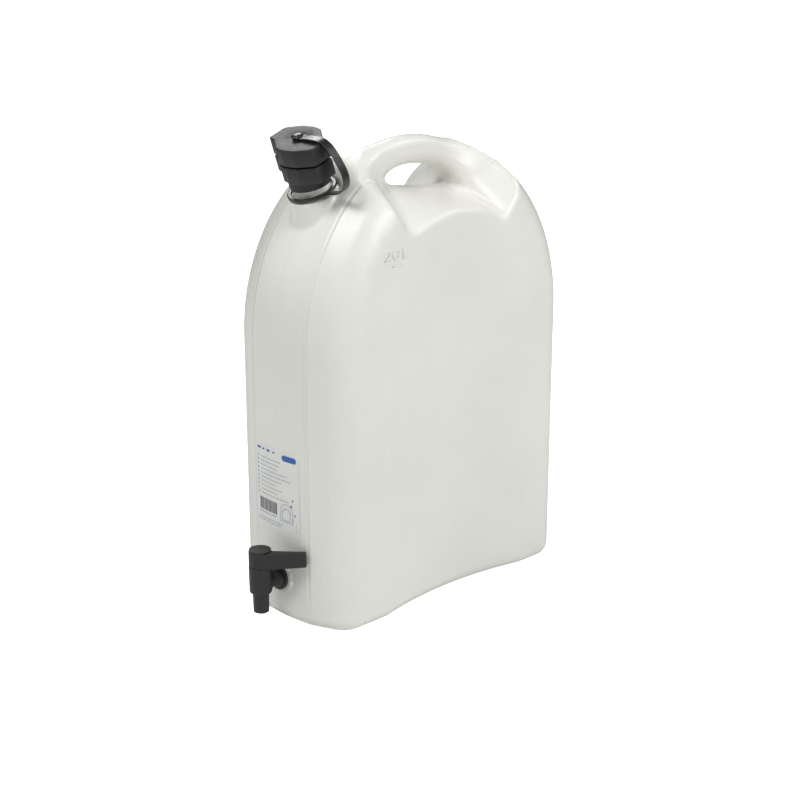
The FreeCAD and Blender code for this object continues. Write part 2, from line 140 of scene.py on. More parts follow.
def rounded(profile, radius, steps=4, closed_loop=False):
    """Round the corners of an outline of (u, v) points with short arcs."""
    pts = [Vector((p[0], p[1])) for p in profile]
    out = []
    count = len(pts)
    for i, p in enumerate(pts):
        if not closed_loop and i in (0, count - 1):
            out.append(tuple(p))
            continue
        a, b = pts[i - 1] - p, pts[(i + 1) % count] - p
        turn = a.angle(b)
        if turn > math.radians(165):
            out.append(tuple(p))
            continue
        cut = min(radius / math.tan(turn / 2), 0.45 * a.length, 0.45 * b.length)
        start, end = p + a.normalized() * cut, p + b.normalized() * cut
        for k in range(steps + 1):
            t = k / steps
            q = start * (1 - t) ** 2 + p * 2 * t * (1 - t) + end * t * t
            out.append(tuple(q))
    return out


def thread(name, radius, height, low, turns, matrix, width=1.6):
    """Screw ridge wound round an axis, fading out at both ends."""
    steps = int(turns * 64)
    points, faces = [], []
    for k in range(steps + 1):
        a = 2 * math.pi * k / 64
        fade = min(1.0, k / 10, (steps - k) / 10)
        s = low + THREAD_PITCH * k / 64
        for r, ds in ((radius - 0.4, -width), (radius + height * fade, -0.35 * width),
                      (radius + height * fade, 0.35 * width), (radius - 0.4, width)):
            points.append((r * math.cos(a), r * math.sin(a), s + ds))
    for k in range(steps):
        for j in range(3):
            a = k * 4 + j
            faces.append((a, a + 4, a + 5, a + 1))
    return soften(make_object(name, place(points, matrix), faces), 50)


# ---- distance fields for the blow-moulded and moulded bodies ----

def blend_max(a, b, r):
    """Larger of two distances with the edge between them rounded to radius r."""
    return np.hypot(np.maximum(a + r, 0), np.maximum(b + r, 0)) + np.minimum(np.maximum(a, b) + r, 0) - r


def blend_min(a, b, k):
    """Smaller of two distances with a soft join of width k."""
    h = np.maximum(k - np.abs(a - b), 0) / k
    return np.minimum(a, b) - h * h * k * 0.25


def arch(y, z, half=HALF_LENGTH, rise=RISE):
    """Distance outside the tombstone outline: straight ends below a half ellipse."""
    h = np.maximum(z - SPRING_Z, 0)
    k1 = np.hypot(y / half, h / rise)
    k2 = np.hypot(y / half ** 2, h / rise ** 2)
    return k1 * (k1 - 1) / np.maximum(k2, 1e-9)


def side_dish(y, z):
    """Depth of the shallow arched hollow in each wide side."""
    h = np.maximum(z - SPRING_Z, 0)
    inward = np.maximum(1 - ((y - 5) / 105.5) ** 2 - (h / 131.0) ** 2, 0)
    return 13.0 * inward ** (1 + 0.7 * np.clip(h / 70, 0, 1))


def full_body(x, y, z):
    ax = np.abs(x)
    d = arch(y, z)
    panel = d - PANEL_BOW * np.maximum(1 - (ax / CREASE_X) ** 2, 0)
    facet = d * math.cos(FACET_ANGLE) + (ax - CREASE_X) * math.sin(FACET_ANGLE)
    out = np.maximum(panel, facet)
    out = blend_max(out, ax - HALF_WIDTH + side_dish(y, z), SIDE_ROUND)
    return blend_max(out, -z, FOOT_ROUND)


FRONT_WALL = Vector((0.47, 0.70, 0.53)).normalized()
REAR_WALL = Vector((0.41, 0.666, 0.629)).normalized()


def hand_space(x, y, z):
    """Negative inside the saddle-shaped space under the handle."""
    ax = np.abs(x)
    across = np.clip(ax / 84.0, 0, 1.1)
    side = np.maximum(427.2 - 18.5 * (np.abs(y + 1) / 66.0) ** 2, 385)
    middle = 440.0 - 0.13 * y
    floor = side + (middle - side) * (1 - across ** 1.8) - z
    front = -(FRONT_WALL.x * (ax - 84) + FRONT_WALL.y * (y + 69) + FRONT_WALL.z * (z - 408))
    rear = -(REAR_WALL.x * (ax - 84) - REAR_WALL.y * (y - 67) + REAR_WALL.z * (z - 408))
    space = blend_max(floor, blend_min(front, -(y + 50), 8), FRONT_VALLEY_ROUND)
    return blend_max(space, blend_min(rear, y - 67, 8), REAR_VALLEY_ROUND)


def handle(x, y, z):
    d = arch(y, z, HALF_LENGTH - HANDLE_R, RISE - HANDLE_R)
    return np.maximum(np.hypot(d, x) - HANDLE_R, np.abs(y) - HANDLE_HALF_LENGTH)


def neck_polar(x, y, z):
    """Distance from the neck axis, and height along it."""
    dy, dz = y - NECK_BASE.y, z - NECK_BASE.z
    s = -math.sin(NECK_TILT) * dy + math.cos(NECK_TILT) * dz
    across = math.cos(NECK_TILT) * dy + math.sin(NECK_TILT) * dz
    return np.hypot(x, across), s


def can_field(x, y, z):
    whole = full_body(x, y, z)
    root = np.clip((z - 435) / 35, 0, 1) * np.clip(-y / 40, 0, 1)
    body = blend_max(whole, -hand_space(x, y, z), RIM_ROUND + ROOT_ROUND * root)
    body = np.maximum(blend_min(body, handle(x, y, z), HANDLE_JOIN), whole)
    r, s = neck_polar(x, y, z)
    seat = np.maximum(r - NECK_SEAT_R, -(s + NECK_SEAT_DEPTH))
    body = blend_max(body, -seat, 2.5)
    boss_side = (r - NECK_BOSS_R + 0.16 * (s + 11)) * 0.987
    boss = np.maximum(blend_max(boss_side, s + NECK_SEAT_DEPTH, 1.5), -(s + 52))
    body = blend_min(body, boss, 3)
    bore = np.maximum(r - NECK_BORE_R, -(s + 42))
    body = np.maximum(body, -bore)
    pad = np.maximum(np.hypot(x, z - INLET_Z) - PAD_R, np.maximum(-y + PAD_FRONT_Y, y + 160))
    return blend_min(body, pad, 2.0)


def surface_mesh(name, field, low, high, step):
    """Mesh of a distance field's zero surface, with normals taken from the field."""
    axes = [np.arange(a, b + step, step) for a, b in zip(low, high)]
    values = field(*np.meshgrid(*axes, indexing="ij"))
    inside = values < 0
    shape = np.array(values.shape) - 1
    total = np.zeros(tuple(shape) + (3,))
    hits = np.zeros(tuple(shape))
    for axis in range(3):
        near = [slice(None)] * 3
        far = [slice(None)] * 3
        near[axis], far[axis] = slice(0, -1), slice(1, None)
        a, b = values[tuple(near)], values[tuple(far)]
        crosses = (a < 0) != (b < 0)
        part = np.where(crosses, a / np.where(crosses, a - b, 1), 0)
        others = [k for k in range(3) if k != axis]
        for u in (0, 1):
            for v in (0, 1):
                pick = [slice(None)] * 3
                pick[others[0]] = slice(u, u + shape[others[0]])
                pick[others[1]] = slice(v, v + shape[others[1]])
                hit = crosses[tuple(pick)]
                hits += hit
                total[..., axis] += np.where(hit, part[tuple(pick)], 0)
                total[..., others[0]] += hit * u
                total[..., others[1]] += hit * v
    used = hits > 0
    cell = np.argwhere(used)
    points = (cell + total[used] / hits[used][:, None]) * step + np.array(low)
    number = np.full(tuple(shape), -1)
    number[used] = np.arange(len(cell))
    faces = []
    for axis in range(3):
        b, c = [k for k in range(3) if k != axis]
        near = [slice(1, -1)] * 3
        far = [slice(1, -1)] * 3
        near[axis], far[axis] = slice(0, -1), slice(1, None)
        first, second = inside[tuple(near)], inside[tuple(far)]
        at = np.argwhere(first != second)
        outward = first[first != second]
        at[:, b] += 1
        at[:, c] += 1
        corners = []
        for db, dc in ((0, 0), (1, 0), (1, 1), (0, 1)):
            q = at.copy()
            q[:, b] -= db
            q[:, c] -= dc
            corners.append(number[q[:, 0], q[:, 1], q[:, 2]])
        quads = np.stack(corners, 1)
        flip = outward if axis == 1 else ~outward
        quads[flip] = quads[flip][:, ::-1]
        faces.append(quads)
    faces = np.concatenate(faces)
    for _ in range(3):
        points -= gradient(field, points) * field(*points.T)[:, None]
    thing = make_object(name, points, faces.tolist())
    normals = gradient(field, points, 0.35)
    thing.data.normals_split_custom_set_from_vertices(normals.tolist())
    return thing


def gradient(field, points, reach=0.2):
    """Unit direction in which the field grows, at each point."""
    out = np.empty_like(points)
    for axis in range(3):
        shift = np.zeros(3)
        shift[axis] = reach
        out[:, axis] = field(*(points + shift).T) - field(*(points - shift).T)
    return out / np.maximum(np.linalg.norm(out, axis=1, keepdims=True), 1e-9)


# ---- materials ----

def new_material(name):
    material = bpy.data.materials.new(name)
    material.use_nodes = True
    nodes, links = material.node_tree.nodes, material.node_tree.links
    return material, nodes, links, nodes["Principled BSDF"]


def math_node(nodes, links, operation, a, b=None, c=None):
    node = nodes.new("ShaderNodeMath")
    node.operation = operation
    for slot, value in zip(node.inputs, (a, b, c)):
        if value is None:
            continue
        if isinstance(value, (int, float)):
            slot.default_value = value
        else:
            links.new(value, slot)
    return node.outputs[0]


def noise_node(nodes, links, source, scale, detail=3.0, roughness=0.55):
    node = nodes.new("ShaderNodeTexNoise")
    node.inputs["Scale"].default_value = scale
    node.inputs["Detail"].default_value = detail
    node.inputs["Roughness"].default_value = roughness
    links.new(source, node.inputs["Vector"])
    return node.outputs["Fac"]


def ramp(nodes, links, source, low, high, colour_a, colour_b):
    node = nodes.new("ShaderNodeValToRGB")
    node.color_ramp.elements[0].position = low
    node.color_ramp.elements[1].position = high
    node.color_ramp.elements[0].color = (*colour_a, 1)
    node.color_ramp.elements[1].color = (*colour_b, 1)
    links.new(source, node.inputs["Fac"])
    return node.outputs["Color"]


def bump(nodes, links, height, distance, strength=1.0, under=None):
    node = nodes.new("ShaderNodeBump")
    node.inputs["Distance"].default_value = distance
    node.inputs["Strength"].default_value = strength
    links.new(height, node.inputs["Height"])
    if under is not None:
        links.new(under, node.inputs["Normal"])
    return node.outputs["Normal"]


def natural_polyethylene():
    """Milky translucent blow-moulded plastic with fine grain, faint thickness clouds and mould lines."""
    material, nodes, links, bsdf = new_material("natural_polyethylene")
    coords = nodes.new("ShaderNodeTexCoord").outputs["Object"]
    clouds = noise_node(nodes, links, coords, 9.0, 4.0)
    colour = ramp(nodes, links, clouds, 0.3, 0.7, (0.775, 0.772, 0.725), (0.82, 0.818, 0.775))
    links.new(colour, bsdf.inputs["Base Color"])
    grain = noise_node(nodes, links, coords, 550.0, 3.0, 0.75)
    patches = noise_node(nodes, links, coords, 35.0, 3.0)
    rough = math_node(nodes, links, "MULTIPLY_ADD", patches, 0.08, 0.21)
    links.new(rough, bsdf.inputs["Roughness"])
    bsdf.inputs["IOR"].default_value = 1.5
    bsdf.inputs["Subsurface Weight"].default_value = 0.2
    bsdf.inputs["Subsurface Radius"].default_value = (1.0, 1.0, 0.92)
    bsdf.inputs["Subsurface Scale"].default_value = 0.005
    split = nodes.new("ShaderNodeSeparateXYZ")
    links.new(coords, split.inputs[0])
    across = math_node(nodes, links, "ABSOLUTE", split.outputs["X"])
    skin = nodes.new("ShaderNodeAttribute")
    skin.attribute_name = "outer_skin"
    crease = math_node(nodes, links, "SUBTRACT", across, CREASE_X * MM)
    crease = math_node(nodes, links, "ABSOLUTE", crease)
    crease = math_node(nodes, links, "DIVIDE", crease, 0.0026)
    crease = math_node(nodes, links, "MINIMUM", crease, 1.0)
    crease = math_node(nodes, links, "SMOOTH_MAX", crease, 0.35, 0.3)
    crease = math_node(nodes, links, "MULTIPLY", crease, skin.outputs["Fac"])
    parting = math_node(nodes, links, "DIVIDE", across, 0.0009)
    parting = math_node(nodes, links, "SUBTRACT", 1.0, parting)
    parting = math_node(nodes, links, "MAXIMUM", parting, 0.0)
    normal = bump(nodes, links, crease, 0.0012)
    normal = bump(nodes, links, parting, 0.00025, 0.8, normal)
    orange_peel = noise_node(nodes, links, coords, 120.0, 2.0)
    normal = bump(nodes, links, orange_peel, 0.0002, 0.35, normal)
    normal = bump(nodes, links, grain, 0.0004, 0.8, normal)
    links.new(normal, bsdf.inputs["Normal"])
    return material


def moulded_plastic(name, colour, edge_highlight_colour, roughness=0.5, grain_scale=700.0, grain_depth=0.0003):
    """Injection-moulded plastic: fine spark grain and uneven sheen, with sharp convex edges painted paler as
    a painted edge highlight.
    """
    material, nodes, links, bsdf = new_material(name)
    coords = nodes.new("ShaderNodeTexCoord").outputs["Object"]
    shade = noise_node(nodes, links, coords, 60.0, 4.0)
    base = ramp(nodes, links, shade, 0.3, 0.75, colour, tuple(1.25 * c for c in colour))
    edges = nodes.new("ShaderNodeNewGeometry").outputs["Pointiness"]
    # painted highlight: sharp convex edges (high pointiness) are mixed part way towards a paler colour
    edge_highlight_mask = ramp(nodes, links, edges, 0.53, 0.62, (0, 0, 0), (1, 1, 1))
    mix = nodes.new("ShaderNodeMix")
    mix.data_type = "RGBA"
    links.new(math_node(nodes, links, "MULTIPLY", edge_highlight_mask, 0.35), mix.inputs["Factor"])
    links.new(base, mix.inputs["A"])
    mix.inputs["B"].default_value = (*edge_highlight_colour, 1)
    links.new(mix.outputs["Result"], bsdf.inputs["Base Color"])
    sheen = noise_node(nodes, links, coords, 220.0, 3.0)
    rough = math_node(nodes, links, "MULTIPLY_ADD", sheen, 0.16, roughness - 0.08)
    links.new(rough, bsdf.inputs["Roughness"])
    grain = noise_node(nodes, links, coords, grain_scale, 2.0, 0.6)
    links.new(bump(nodes, links, grain, grain_depth, 0.7), bsdf.inputs["Normal"])
    return material


def elastomer(name, colour):
    """Soft seal material: dull, faintly mottled."""
    material, nodes, links, bsdf = new_material(name)
    coords = nodes.new("ShaderNodeTexCoord").outputs["Object"]
    mottle = noise_node(nodes, links, coords, 150.0, 3.0)
    tone = ramp(nodes, links, mottle, 0.3, 0.7, colour, tuple(1.4 * c for c in colour))
    links.new(tone, bsdf.inputs["Base Color"])
    links.new(math_node(nodes, links, "MULTIPLY_ADD", mottle, 0.2, 0.6), bsdf.inputs["Roughness"])
    links.new(bump(nodes, links, mottle, 0.0001, 0.5), bsdf.inputs["Normal"])
    return material


def printed_ink(name, colour):
    """Printing ink: slightly uneven coverage and a satin sheen."""
    material, nodes, links, bsdf = new_material(name)
    coords = nodes.new("ShaderNodeTexCoord").outputs["Object"]
    cover = noise_node(nodes, links, coords, 2500.0, 2.0)
    paler = tuple(c + 0.08 * (0.8 - c) for c in colour)
    links.new(ramp(nodes, links, cover, 0.35, 0.75, colour, paler), bsdf.inputs["Base Color"])
    links.new(math_node(nodes, links, "MULTIPLY_ADD", cover, 0.1, 0.35), bsdf.inputs["Roughness"])
    return material


def clear_film():
    """Thin clear label film over the milky can: the same tone, a touch glossier, with faint waviness."""
    material, nodes, links, bsdf = new_material("label_film")
    coords = nodes.new("ShaderNodeTexCoord").outputs["Object"]
    wave = noise_node(nodes, links, coords, 45.0, 2.0)
    tone = ramp(nodes, links, wave, 0.3, 0.7, (0.765, 0.765, 0.73), (0.80, 0.80, 0.77))
    links.new(tone, bsdf.inputs["Base Color"])
    links.new(math_node(nodes, links, "MULTIPLY_ADD", wave, 0.1, 0.28), bsdf.inputs["Roughness"])
    bsdf.inputs["Subsurface Weight"].default_value = 0.2
    bsdf.inputs["Subsurface Scale"].default_value = 0.006
    links.new(bump(nodes, links, wave, 0.0004, 0.3), bsdf.inputs["Normal"])
    return material


def paint(thing, material):
    thing.data.materials.clear()
    thing.data.materials.append(material)
    return thing


# ---- the can ----

def build_can(material):
    low = (-HALF_WIDTH - 3, -HALF_LENGTH - 8, -4)
    high = (HALF_WIDTH + 3, HALF_LENGTH + 8, SPRING_Z + RISE + 6)
    can = surface_mesh("can_body", can_field, low, high, MESH_STEP)
    points = np.array([v.co for v in can.data.vertices]) / MM
    on_arch = np.clip((arch(points[:, 1], points[:, 2]) + 12) / 6, 0, 1)
    skin = can.data.attributes.new("outer_skin", "FLOAT", "POINT")
    skin.data.foreach_set("value", on_arch.astype(np.float32))
    paint(can, material)
    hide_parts("can_shell")
    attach(can, "can")


def build_neck(material):
    profile = rounded([(17.6, -40), (19.0, -16), (19.0, 20.5), (16.0, 20.5), (16.0, -20), (17.0, -41)], 0.8)
    neck = lathe("neck_tube", profile, neck_matrix())
    ridge = thread("neck_thread", 19.0, 0.9, 3.0, 2.6, neck_matrix())
    for piece in (neck, ridge):
        paint(piece, material)
        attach(piece, "can")


def arc_points(cy, cz, ry, rz, start, end, steps=10):
    angles = [math.radians(start + (end - start) * k / steps) for k in range(steps + 1)]
    return [(cy + ry * math.cos(a), cz + rz * math.sin(a)) for a in angles]


def build_volume_mark(material):
    """Raised single-stroke capacity figure and a level tick on the +X side, by the front shoulder."""
    two = arc_points(3.6, 6.4, 3.2, 3.2, 165, -40) + [(0.4, 0.0), (7.0, 0.0)]
    nought = arc_points(15.5, 4.8, 4.2, 4.8, 0, 360, 28)
    letter = [(25.5, 9.6), (25.5, 0.0), (30.5, 0.0)]
    tick = [(10.0, -6.5), (24.0, -6.5)]
    curve = bpy.data.curves.new("volume_mark", "CURVE")
    curve.dimensions = "3D"
    curve.bevel_depth = 0.0009
    curve.bevel_resolution = 3
    curve.use_fill_caps = True
    for stroke in (two, nought, letter, tick):
        spline = curve.splines.new("POLY")
        spline.points.add(len(stroke) - 1)
        for point, (y, z) in zip(spline.points, stroke):
            point.co = ((HALF_WIDTH + 0.1) * MM, (-107.5 + y) * MM, (389.8 + z) * MM, 1)
    mark = bpy.data.objects.new("volume_mark", curve)
    bpy.context.scene.collection.objects.link(mark)
    paint(mark, material)
    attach(mark, "can")


# ---- the label ----

def front_y(x, lift):
    """Place on the bowed front panel, lifted off it."""
    return -(HALF_LENGTH + PANEL_BOW * max(1 - (x / CREASE_X) ** 2, 0) + lift)


def bar_points(x0, x1, z0, z1, lift, steps=6):
    """Grid strip of the front panel between two sides and two heights."""
    points = []
    for z in (z0, z1):
        for k in range(steps + 1):
            x = x0 + (x1 - x0) * k / steps
            points.append((x, front_y(x, lift), z))
    faces = [(k, k + 1, k + steps + 2, k + steps + 1) for k in range(steps)]
    return points, faces


def printed_bars(name, bars, material, lift=0.32):
    points, faces = [], []
    for x0, x1, z0, z1 in bars:
        p, f = bar_points(x0, x1, z0, z1, lift)
        faces += [tuple(len(points) + k for k in face) for face in f]
        points += p
    piece = paint(make_object(name, points, faces), material)
    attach(piece, "can")
    return piece


def rounded_patch(name, left, right, low, high, corner, lift, depth=0.0):
    """Patch of the front panel with rounded corners; a depth gives it top and bottom edges."""
    points, faces = [], []
    ends = np.linspace(0, corner, 7)
    middle = np.linspace(left + corner, right - corner, 18)[1:-1]
    spans = list(left + ends) + list(middle) + list(right - ends[::-1])
    sheets = (lift, lift - depth) if depth else (lift,)
    for height in sheets:
        for x in spans:
            inset = max(corner - (x - left), corner - (right - x), 0)
            drop = corner - math.sqrt(max(corner ** 2 - inset ** 2, 0)) + 0.01
            for z in (low + drop, high - drop):
                points.append((x, front_y(x, height), z))
    n = 2 * len(spans)
    for k in range(len(spans) - 1):
        faces.append((2 * k, 2 * k + 2, 2 * k + 3, 2 * k + 1))
        if depth:
            faces.append((2 * k, n + 2 * k, n + 2 * k + 2, 2 * k + 2))
            faces.append((2 * k + 1, 2 * k + 3, n + 2 * k + 3, n + 2 * k + 1))
    return soften(make_object(name, points, faces))


def word_bars(start, end, z, seed, height=1.0):
    """A line of generic print: short dashes of uneven length."""
    bars, x, k = [], start, seed
    while x < end - 1:
        length = min(2.2 + 1.7 * (k * 7 % 4), end - x)
        bars.append((x, x + length, z - height / 2, z + height / 2))
        x += length + 0.9
        k += 1
    return bars


def arch_bars(left, right, foot, spring, crown, line=0.35):
    """Outline of a small arched can drawn with short bars."""
    middle, half = (left + right) / 2, (right - left) / 2
    bars = [(left - line, left + line, foot, spring), (right - line, right + line, foot, spring),
            (left, right, foot - line, foot + line)]
    for k in range(1, 24):
        a = math.pi * k / 24
        x, z = middle + half * math.cos(a), spring + (crown - spring) * math.sin(a)
        bars.append((x - 1.1 * line - 0.3, x + 1.1 * line + 0.3, z - line, z + line))
    return bars


def build_label(film, blue, grey, dark):
    sheet = paint(rounded_patch("label_film", -37.5, 31.5, 98, 190, 3.0, 0.22, 0.2), film)
    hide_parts("front_label")
    pill = paint(rounded_patch("label_blue_tab", 7.4, 28.2, 179.8, 186.2, 3.1, 0.34), blue)
    for piece in (sheet, pill):
        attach(piece, "can")
    ends = (5.8, 3.5, -1.3, 13.2, 19.9, 5.1, -3.5, 6.2, -0.7, 17.1)
    text, bullets = [], []
    for k, end in enumerate(ends):
        z = 176.1 - 4.5 * k
        text += word_bars(-28.4, end, z, k)
        bullets.append((-34.4, -32.8, z - 0.9, z + 0.9))
    text += word_bars(-35, 7.4, 108.2, 3, 0.9)
    text += word_bars(-35, 3.4, 105.4, 5, 0.9)
    text += word_bars(-33, -2, 114.6, 1, 1.2)
    printed_bars("label_text_lines", text, grey)
    heading = [(-35, -28.4, 183.9, 186.3), (-25.4, -21.5, 184.2, 186), (-17.6, -12.3, 183.9, 186.3),
               (-7.5, -3.7, 184.2, 186)]
    accents = [(24.4, 26, 121.8, 124.2), (21.5, 23, 137.5, 140), (19, 21.2, 130.6, 133.2)]
    printed_bars("label_blue_marks", heading + bullets + accents, blue)
    stripes, x = [], -31.5
    for width in (2.4, 1.2, 1.8, 0.9, 2.1, 1.5, 0.9, 2.4, 1.2, 1.8, 1.5, 2.4):
        stripes.append((x, x + width, 117.2, 130.4))
        x += width + 0.85
    printed_bars("label_stripes", stripes, dark)
    side_marks = [(21.5, 22.9, 114, 118.4), (29.2, 30, 105.4, 106.4)]
    side_marks += [(26.5, 27.1, z, z + 1.5) for z in (105, 107.5, 110, 112.5)]
    outlines = arch_bars(3.6, 22.0, 112.7, 123.5, 132.4) + arch_bars(6.6, 18.6, 114.6, 121.5, 127.6)
    printed_bars("label_pictogram", outlines + side_marks, grey)


# ---- the closure ----

GRIP_HALF = ((36.0, 7.0, 1.2), (25.0, 11.0, 1.5), (7.0, 25.0, 6.0), (-4.0, 27.6, 9.0), (-20.0, 26.3, 12.0),
             (-39.0, 17.0, 8.0))     # corner points of one lobe and their rounding radii


def grip_outline():
    """Two-lobed grip seen along the neck axis: the second half is the first turned half round."""
    corners = [(Vector((sign * x, sign * y)), r) for sign in (1, -1) for x, y, r in GRIP_HALF]
    loop = []
    count = len(corners)
    for i, (p, radius) in enumerate(corners):
        a, b = corners[i - 1][0] - p, corners[(i + 1) % count][0] - p
        opening = a.angle(b)
        cut = min(radius / math.tan(opening / 2), 0.48 * a.length, 0.48 * b.length)
        start, end = p + a.normalized() * cut, p + b.normalized() * cut
        steps = 8
        for k in range(steps + 1):
            t = k / steps
            loop.append(start * (1 - t) ** 2 + p * 2 * t * (1 - t) + end * t * t)
        following = corners[(i + 1) % count][0]
        straight = (following - end).length
        for k in range(1, int(straight / 3)):
            loop.append(end.lerp(following, k * 3 / straight * 0.5))
    return loop


def inset_outline(points, inset):
    out = []
    count = len(points)
    for i, p in enumerate(points):
        along = (points[(i + 1) % count] - points[i - 1]).normalized()
        inward = Vector((-along.y, along.x))
        out.append(p + inward * inset)
    return out


def grip_piece(name, rings, closed_loop):
    """Rings are ("grip", inset, height) or ("round", radius, height), bridged in order."""
    outline = grip_outline()
    angles = [math.atan2(p.y, p.x) for p in outline]
    points = []
    for kind, size, height in rings:
        if kind == "grip":
            points += [(p.x, p.y, height) for p in inset_outline(outline, size)]
        else:
            points += [(size * math.cos(a), size * math.sin(a), height) for a in angles]
    faces = bridge_rings(len(rings), len(outline), closed_loop)
    return soften(make_object(name, place(points, neck_matrix()), faces), 40)


def build_closure(black, strap_black, grey):
    nut_rings = [("round", 20.1, 0.6), ("round", 20.6, 0.0), ("round", 21.1, 0.0), ("round", 21.5, 0.2),
                 ("round", 21.6, 0.7), ("round", 21.7, 6.0), ("round", 21.9, 11.6), ("round", 22.4, 12.5),
                 ("grip", 3.5, 12.9), ("grip", 0.9, 12.9), ("grip", 0.3, 13.1), ("grip", 0.0, 13.7),
                 ("grip", 0.0, 21.0), ("grip", 0.0, 28.9), ("grip", 0.25, 29.5), ("grip", 0.9, 29.8),
                 ("grip", 4.5, 29.8), ("round", 16.4, 29.8), ("round", 15.9, 29.4), ("round", 15.8, 25.1),
                 ("round", 20.1, 25.1), ("round", 20.1, 12.0)]
    nut = grip_piece("union_nut_grip", nut_rings, True)
    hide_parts("union_nut")
    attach(nut, "nut")
    cap_rings = [("round", 15.5, 32.1), ("round", 16.0, 31.6), ("grip", 4.5, 31.6), ("grip", 0.9, 31.6),
                 ("grip", 0.3, 31.8), ("grip", 0.0, 32.4), ("grip", 0.0, 40.0), ("grip", 0.0, 48.5),
                 ("grip", 0.2, 49.1), ("grip", 0.7, 49.45), ("grip", 1.6, 49.5), ("round", 13.2, 49.5),
                 ("round", 12.6, 49.25), ("round", 8.5, 49.05), ("round", 2.8, 49.0), ("round", 2.7, 46.5),
                 ("round", 15.5, 46.5), ("round", 15.5, 40.0)]
    cap = grip_piece("screw_cap_grip", cap_rings, True)
    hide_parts("screw_cap")
    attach(cap, "cap")
    for piece in (nut, cap):
        paint(piece, black)
    insert_profile = rounded([(11.5, 11.6), (15.6, 11.5), (15.7, 22.0), (18.6, 22.0), (18.6, 25.0),
                              (14.5, 25.0), (14.5, 45.0), (11.5, 45.0)], 0.5, closed_loop=True)
    insert = lathe("pouring_insert", insert_profile, neck_matrix(), closed_loop=True)
    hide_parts("pour_insert")
    ridge = thread("insert_thread", 14.5, 0.8, 29.5, 2.5, neck_matrix())
    for piece in (insert, ridge):
        paint(piece, grey)
        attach(piece, "spout")
    button_profile = rounded([(0, 45.4), (4.2, 45.4), (4.2, 46.3), (2.6, 46.3), (2.6, 51.8), (6.1, 51.8),
                              (6.3, 52.3)], 0.25)
    button_profile += [(5.9, 52.9), (4.9, 53.5), (3.4, 53.9), (1.7, 54.05), (0, 54.1)]      # domed head
    button = lathe("strap_button", button_profile, neck_matrix(), segments=64, smooth_angle=50)
    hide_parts("tether_rivet")
    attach(button, "button")
    paint(button, strap_black)


# ---- the tether ----

STRAP_POINTS = ((0, 51.0), (7, 51.0), (15, 51.8), (24, 52.3), (33, 52.0), (39, 50.4), (45, 46), (50, 39),
                (54, 31), (57, 23), (58.2, 15), (56.6, 8.2), (52.4, 2), (45, -2.6), (35, -5.5), (24, -6.3))
STRAP_WIDTH = 9.0
STRAP_SPLIT = 22.0        # the two halves of the strap meet at this height


def smooth_curve(points, per_span=8):
    """Catmull-Rom curve through (x, s) points."""
    out = []
    pts = [Vector(p) for p in points]
    for i in range(len(pts) - 1):
        a = pts[max(i - 1, 0)]
        b, c = pts[i], pts[i + 1]
        d = pts[min(i + 2, len(pts) - 1)]
        for k in range(per_span):
            t = k / per_span
            out.append(0.5 * (2 * b + (c - a) * t + (2 * a - 5 * b + 4 * c - d) * t * t
                              + (3 * b - a - 3 * c + d) * t ** 3))
    return out + [pts[-1]]


def strap_mesh(name, curve, widths):
    """Flat band with rounded edges along an (x, s) curve in the plane through the neck axis."""
    place_neck = neck_matrix()
    points = []
    n = 10
    for i, p in enumerate(curve):
        before, after = curve[max(i - 1, 0)], curve[min(i + 1, len(curve) - 1)]
        heading = (after - before).normalized()
        out = Vector((-heading.y, heading.x))
        half, thick = widths[i] / 2, 0.7
        for u, v in ((-1, -0.4), (-0.9, -1), (0.9, -1), (1, -0.4), (1, 0.4), (0.9, 1), (0.5, 1.0), (0, 1.0),
                     (-0.5, 1.0), (-0.9, 1)):
            q = p + out * (thick * v)
            points.append((q.x, half * u, q.y))
    faces = bridge_rings(len(curve), n, False)
    faces += [tuple(range(n))[::-1], tuple(range((len(curve) - 1) * n, len(curve) * n))]
    return soften(make_object(name, place(points, place_neck), faces), 40)


def build_tether(material):
    curve = smooth_curve(STRAP_POINTS)
    split = min(i for i, p in enumerate(curve) if p.x > 30 and p.y < STRAP_SPLIT)
    upper, lower = curve[:split + 1], curve[split:]
    wide = [STRAP_WIDTH + 2.8 * max(0, 1 - p.x / 7.0) for p in upper]
    top = strap_mesh("tether_strap_upper", upper, wide)
    flare = [STRAP_WIDTH + 5.0 * max(0, (31 - p.x) / 7.0) ** 1.5 if p.y < 0 else STRAP_WIDTH for p in lower]
    bottom = strap_mesh("tether_strap_lower", lower, flare)
    eye = lathe("tether_eye", rounded([(2.7, 50.3), (5.9, 50.3), (6.1, 51.0), (5.9, 51.7), (2.7, 51.7)], 0.3,
                                      closed_loop=True), neck_matrix(), 48, True)
    lean = Matrix.Translation((0, 0, -6.3)) @ Matrix.Rotation(math.radians(3.5), 4, "X")
    ring = lathe("tether_ring", rounded([(21.5, -1.5), (25.8, -1.5), (25.8, 1.5), (21.5, 1.5)], 0.9,
                                        closed_loop=True), neck_matrix() @ lean, 96, True, 60)
    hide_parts("tether_strap")
    for piece in (top, bottom, eye, ring):
        paint(piece, material)
    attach(ring, "can")
    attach(eye, "button")

    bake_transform(bottom)
    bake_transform(top)


# ---- the tap ----

